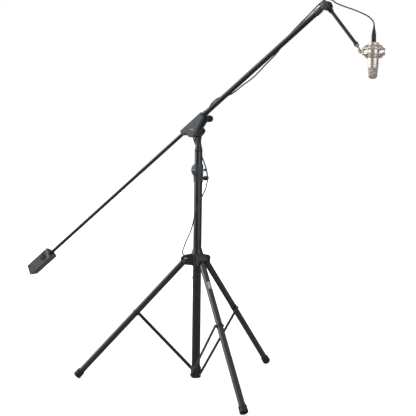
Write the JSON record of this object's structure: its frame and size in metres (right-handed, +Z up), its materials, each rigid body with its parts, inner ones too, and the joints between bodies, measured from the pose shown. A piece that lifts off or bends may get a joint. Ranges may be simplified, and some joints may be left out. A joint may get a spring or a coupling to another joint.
{
  "type": "boom microphone stand",
  "caption": "Tripod stand with braced folding legs, telescopic mast and a counterweighted telescopic boom that carries a shock-mounted microphone on a swivelling mini boom.",
  "frame": {"origin": "centre of the mast base casting's flat underside, on the mast's axis; the feet stand 30 mm lower", "axes": "+Z up the mast, +X horizontally along the boom towards the microphone"},
  "size_m": [1.9589, 0.8843, 1.7002],
  "materials": {
    "mast_paint": "satin charcoal powder coat",
    "leg_paint": "satin charcoal powder coat",
    "brace_paint": "satin black powder coat",
    "casting": "die-cast, painted dark grey",
    "head_plastic": "grained grey-blue moulding",
    "knob_plastic": "black moulding",
    "bolt_steel": "darkened steel",
    "foot_rubber": "matt black rubber",
    "boom_paint": "satin black powder coat",
    "weight_paint": "cast iron, painted mid grey",
    "mic_nickel": "satin nickel plate",
    "mic_grille": "nickel wire mesh",
    "elastic": "woven elastic cord",
    "connector": "black anodised shell",
    "cable_jacket": "matt black jacket"
  },
  "bodies": {
    "stand": {"mast_base": "casting", "mast_outer": "mast_paint", "collar_body": "head_plastic", "collar_cover": "head_plastic", "brace_pin_a": "bolt_steel", "brace_pin_b": "bolt_steel", "brace_pin_c": "bolt_steel", "cable_mast": "cable_jacket"},
    "hub": {"hub_body": "casting", "leg_pin_a": "bolt_steel", "leg_pin_b": "bolt_steel", "leg_pin_c": "bolt_steel", "cable_hank": "cable_jacket", "cable_plug": "connector"},
    "hub_knob": {"hub_knob": "knob_plastic"},
    "leg_a": {"leg_yoke_a": "casting", "leg_tube_a": "leg_paint", "leg_clip_a": "casting", "foot_a": "foot_rubber"},
    "leg_b": {"leg_yoke_b": "casting", "leg_tube_b": "leg_paint", "leg_clip_b": "casting", "foot_b": "foot_rubber"},
    "leg_c": {"leg_yoke_c": "casting", "leg_tube_c": "leg_paint", "leg_clip_c": "casting", "foot_c": "foot_rubber"},
    "brace_a": {"brace_a": "brace_paint", "brace_rivet_a": "bolt_steel"},
    "brace_b": {"brace_b": "brace_paint", "brace_rivet_b": "bolt_steel"},
    "brace_c": {"brace_c": "brace_paint", "brace_rivet_c": "bolt_steel"},
    "collar_knob": {"collar_knob": "knob_plastic"},
    "collar_pin": {"collar_pin": "bolt_steel"},
    "inner_mast": {"mast_inner": "mast_paint"},
    "head": {"head_neck": "casting"},
    "head_knob": {"head_knob": "knob_plastic"},
    "cradle": {"boom_saddle": "head_plastic", "boom_cover": "head_plastic", "boom_sleeve": "casting"},
    "boom_knob": {"boom_knob": "knob_plastic"},
    "boom": {"boom_tube": "boom_paint", "tip_body": "head_plastic", "cable_tip": "cable_jacket", "cable_boom": "cable_jacket"},
    "rod": {"boom_rod": "boom_paint"},
    "weight": {"counterweight": "weight_paint"},
    "weight_knob": {"weight_knob": "knob_plastic"},
    "mini_boom": {"tip_clamp": "casting", "mini_boom": "boom_paint", "mic_swivel": "mic_nickel"},
    "tip_knob": {"tip_knob": "knob_plastic"},
    "mic": {"shock_outer": "mic_nickel", "shock_inner": "mic_nickel", "shock_elastic": "elastic", "mic_body": "mic_nickel", "mic_grille": "mic_grille", "mic_connector": "connector"}
  },
  "joints": [
    {"name": "hub_slide", "type": "slide", "parent": "stand", "child": "hub", "axis": [0, 0, 1], "range_m": [0, 0.1959], "deforming": ["cable_mast"]},
    {"name": "leg_a_fold", "type": "hinge", "parent": "hub", "child": "leg_a", "pos_m": [-0.05121, -0.02723, 0.535], "axis": [0.4695, -0.8829, 0], "range_deg": [0, 39.1]},
    {"name": "leg_b_fold", "type": "hinge", "parent": "hub", "child": "leg_b", "pos_m": [0.04919, -0.03073, 0.535], "axis": [0.5299, 0.848, 0], "range_deg": [0, 39.1]},
    {"name": "leg_c_fold", "type": "hinge", "parent": "hub", "child": "leg_c", "pos_m": [0.00202, 0.05797, 0.535], "axis": [-0.9994, 0.0349, 0], "range_deg": [0, 39.1]},
    {"name": "brace_a_fold", "type": "hinge", "parent": "stand", "child": "brace_a", "pos_m": [0, 0, 0.014], "axis": [-0.4695, 0.8829, 0], "range_deg": [0, 34.54]},
    {"name": "brace_b_fold", "type": "hinge", "parent": "stand", "child": "brace_b", "pos_m": [0, 0, 0.014], "axis": [-0.5299, -0.848, 0], "range_deg": [0, 34.54]},
    {"name": "brace_c_fold", "type": "hinge", "parent": "stand", "child": "brace_c", "pos_m": [0, 0, 0.014], "axis": [0.9994, -0.0349, 0], "range_deg": [0, 34.54]},
    {"name": "hub_knob_turn", "type": "hinge", "parent": "hub", "child": "hub_knob", "pos_m": [0, 0, 0.576], "axis": [-0.6018, 0.7986, 0], "range_deg": [0, 180]},
    {"name": "collar_knob_turn", "type": "hinge", "parent": "stand", "child": "collar_knob", "pos_m": [0, 0, 0.908], "axis": [0, 1, 0], "range_deg": [0, 180]},
    {"name": "collar_pin_pull", "type": "slide", "parent": "stand", "child": "collar_pin", "axis": [0, 1, 0], "range_m": [0, 0.006], "stiffness_N_per_m": 600, "springref_m": -0.004},
    {"name": "mast_slide", "type": "slide", "parent": "stand", "child": "inner_mast", "axis": [0, 0, 1], "range_m": [-0.05, 0.55]},
    {"name": "head_yaw", "type": "hinge", "parent": "inner_mast", "child": "head", "pos_m": [0, 0, 1.04], "axis": [0, 0, 1], "range_deg": [-170, 170]},
    {"name": "head_knob_turn", "type": "hinge", "parent": "head", "child": "head_knob", "pos_m": [0, 0, 1.122], "axis": [0, 1, 0], "range_deg": [0, 180]},
    {"name": "boom_tilt", "type": "hinge", "parent": "head", "child": "cradle", "pos_m": [0, 0, 1.122], "axis": [0, -1, 0], "range_deg": [-76, 20]},
    {"name": "boom_knob_turn", "type": "hinge", "parent": "cradle", "child": "boom_knob", "pos_m": [0.06412, -0.012, 1.17742], "axis": [0, 1, 0], "range_deg": [0, 180]},
    {"name": "boom_slide", "type": "slide", "parent": "cradle", "child": "boom", "axis": [0.8045, 0, 0.594], "range_m": [-0.1, 0], "deforming": ["cable_boom"]},
    {"name": "rod_slide", "type": "slide", "parent": "boom", "child": "rod", "axis": [0.8045, 0, 0.594], "range_m": [0, 0.55]},
    {"name": "weight_slide", "type": "slide", "parent": "rod", "child": "weight", "axis": [0.8045, 0, 0.594], "range_m": [0, 0.4]},
    {"name": "weight_knob_turn", "type": "hinge", "parent": "weight", "child": "weight_knob", "pos_m": [-0.91295, -0.044, 0.47963], "axis": [0, -1, 0], "range_deg": [0, 180]},
    {"name": "tip_swing", "type": "hinge", "parent": "boom", "child": "mini_boom", "pos_m": [0.66401, -0.044, 1.64023], "axis": [0, 1, 0], "range_deg": [-85, 45], "deforming": ["cable_tip"]},
    {"name": "tip_knob_turn", "type": "hinge", "parent": "mini_boom", "child": "tip_knob", "pos_m": [0.66401, 0, 1.64023], "axis": [0, 1, 0], "range_deg": [0, 180]},
    {"name": "mic_tilt", "type": "hinge", "parent": "mini_boom", "child": "mic", "pos_m": [0.822, -0.023, 1.4515], "axis": [0, 1, 0], "range_deg": [-25, 90]}
  ],
  "couplings": [
    {"joint": "leg_a_fold", "follows": "hub_slide", "rad_per_m": 3.4835},
    {"joint": "leg_b_fold", "follows": "hub_slide", "rad_per_m": 3.4835},
    {"joint": "leg_c_fold", "follows": "hub_slide", "rad_per_m": 3.4835},
    {"joint": "brace_a_fold", "follows": "hub_slide", "rad_per_m": 3.0773},
    {"joint": "brace_b_fold", "follows": "hub_slide", "rad_per_m": 3.0773},
    {"joint": "brace_c_fold", "follows": "hub_slide", "rad_per_m": 3.0773}
  ]
}
